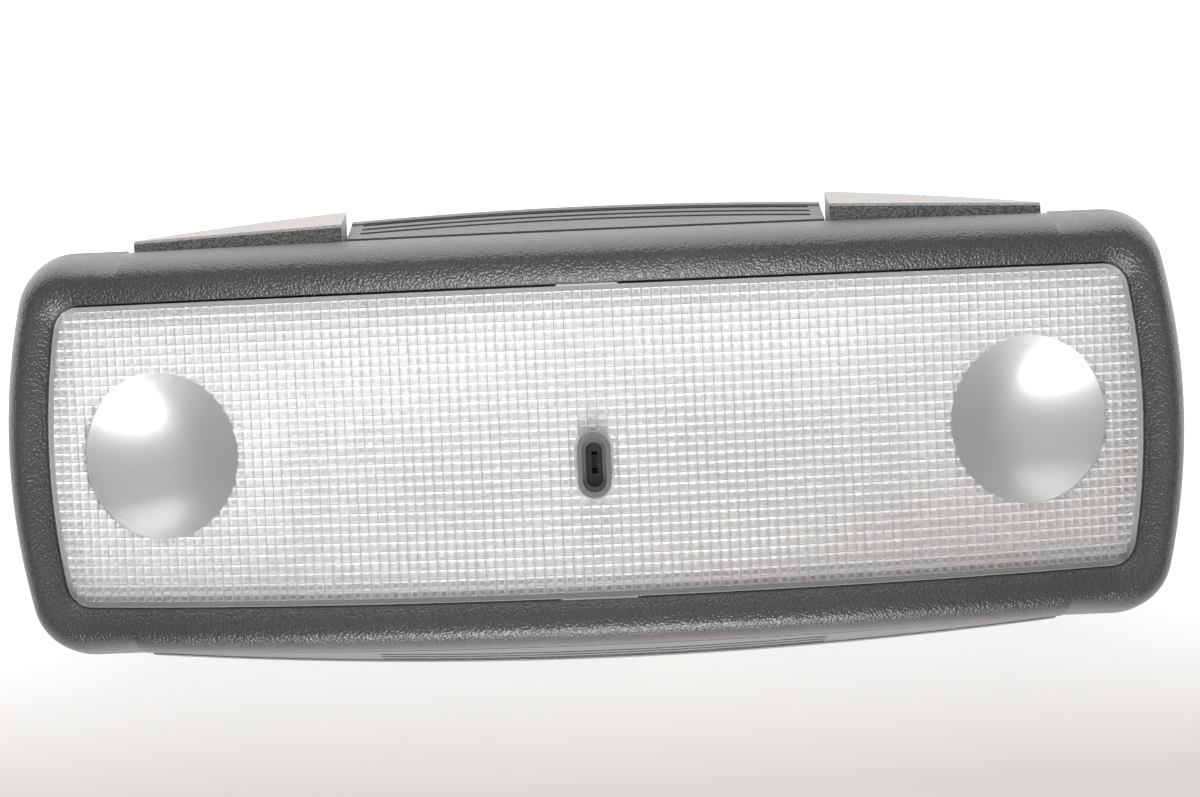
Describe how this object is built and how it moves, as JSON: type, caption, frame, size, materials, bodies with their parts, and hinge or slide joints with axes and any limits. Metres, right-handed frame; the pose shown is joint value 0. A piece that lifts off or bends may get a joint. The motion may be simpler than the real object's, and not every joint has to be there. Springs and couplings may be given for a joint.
{
  "type": "car dome light",
  "caption": "Bowed overhead car dome light: prism lens with two round reading windows, dark grained bezel, side buttons and cooling grilles.",
  "frame": {"origin": "centre of the flat back plane of the housing, on which the lamp lies", "axes": "+X along the lamp, +Y towards the long side with the two buttons, +Z out of the lens, into the cabin"},
  "size_m": [0.2528, 0.0984, 0.048],
  "materials": {
    "grained_dark": "fine leather grain, satin",
    "housing_dark": "fine grain, satin",
    "clear_lens": "clear moulded plastic with small pyramid prisms",
    "silvered": "satin vacuum metallising",
    "bulb_glass": "clear glass bulb",
    "socket_white": "moulded, natural white",
    "contact_brass": "stamped strip",
    "board_green": "laminate board",
    "switch_black": "moulded",
    "plunger_red": "moulded",
    "sleeve_dark": "satin",
    "led_clear": "clear epoxy",
    "pad_rubber": "moulded rubber",
    "steel": "zinc plated",
    "spring_steel": "spring strip"
  },
  "bodies": {
    "lamp": {"bezel": "grained_dark", "housing": "housing_dark", "lens": "clear_lens", "main_reflector": "silvered", "reading_reflector_left": "silvered", "reading_reflector_right": "silvered", "reading_bulb_left": "bulb_glass", "reading_bulb_right": "bulb_glass", "reading_socket_left": "socket_white", "reading_socket_right": "socket_white", "reading_dish_left": "silvered", "reading_dish_right": "silvered", "festoon_bulb_left": "bulb_glass", "festoon_bulb_right": "bulb_glass", "festoon_contacts_left": "contact_brass", "festoon_contacts_right": "contact_brass", "circuit_board": "board_green", "board_screws": "steel", "connector_shell": "socket_white", "connector_pins": "contact_brass", "switch_left": "switch_black", "switch_right": "switch_black", "hinge_pin_left": "steel", "hinge_pin_right": "steel", "sensor_shroud": "sleeve_dark", "sensor_led": "led_clear", "retaining_clips_left": "spring_steel", "retaining_clips_right": "spring_steel", "bezel_screws": "steel", "rest_pads": "pad_rubber"},
    "left_button": {"button_left": "grained_dark"},
    "right_button": {"button_right": "grained_dark"},
    "left_plunger": {"plunger_left": "plunger_red"},
    "right_plunger": {"plunger_right": "plunger_red"}
  },
  "joints": [
    {"name": "button_left_press", "type": "hinge", "parent": "lamp", "child": "left_button", "pos_m": [-0.093, 0.0343, 0.0256], "axis": [0, 1, 0], "range_deg": [0, 2.4], "stiffness_Nm_per_rad": 2},
    {"name": "button_right_press", "type": "hinge", "parent": "lamp", "child": "right_button", "pos_m": [0.093, 0.0343, 0.0256], "axis": [0, -1, 0], "range_deg": [0, 2.4], "stiffness_Nm_per_rad": 2},
    {"name": "plunger_left_travel", "type": "slide", "parent": "lamp", "child": "left_plunger", "axis": [0, 0, -1], "range_m": [0, 0.0015]},
    {"name": "plunger_right_travel", "type": "slide", "parent": "lamp", "child": "right_plunger", "axis": [0, 0, -1], "range_m": [0, 0.0015]}
  ],
  "couplings": [
    {"joint": "plunger_left_travel", "follows": "button_left_press", "m_per_rad": 0.0332},
    {"joint": "plunger_right_travel", "follows": "button_right_press", "m_per_rad": 0.0332}
  ]
}
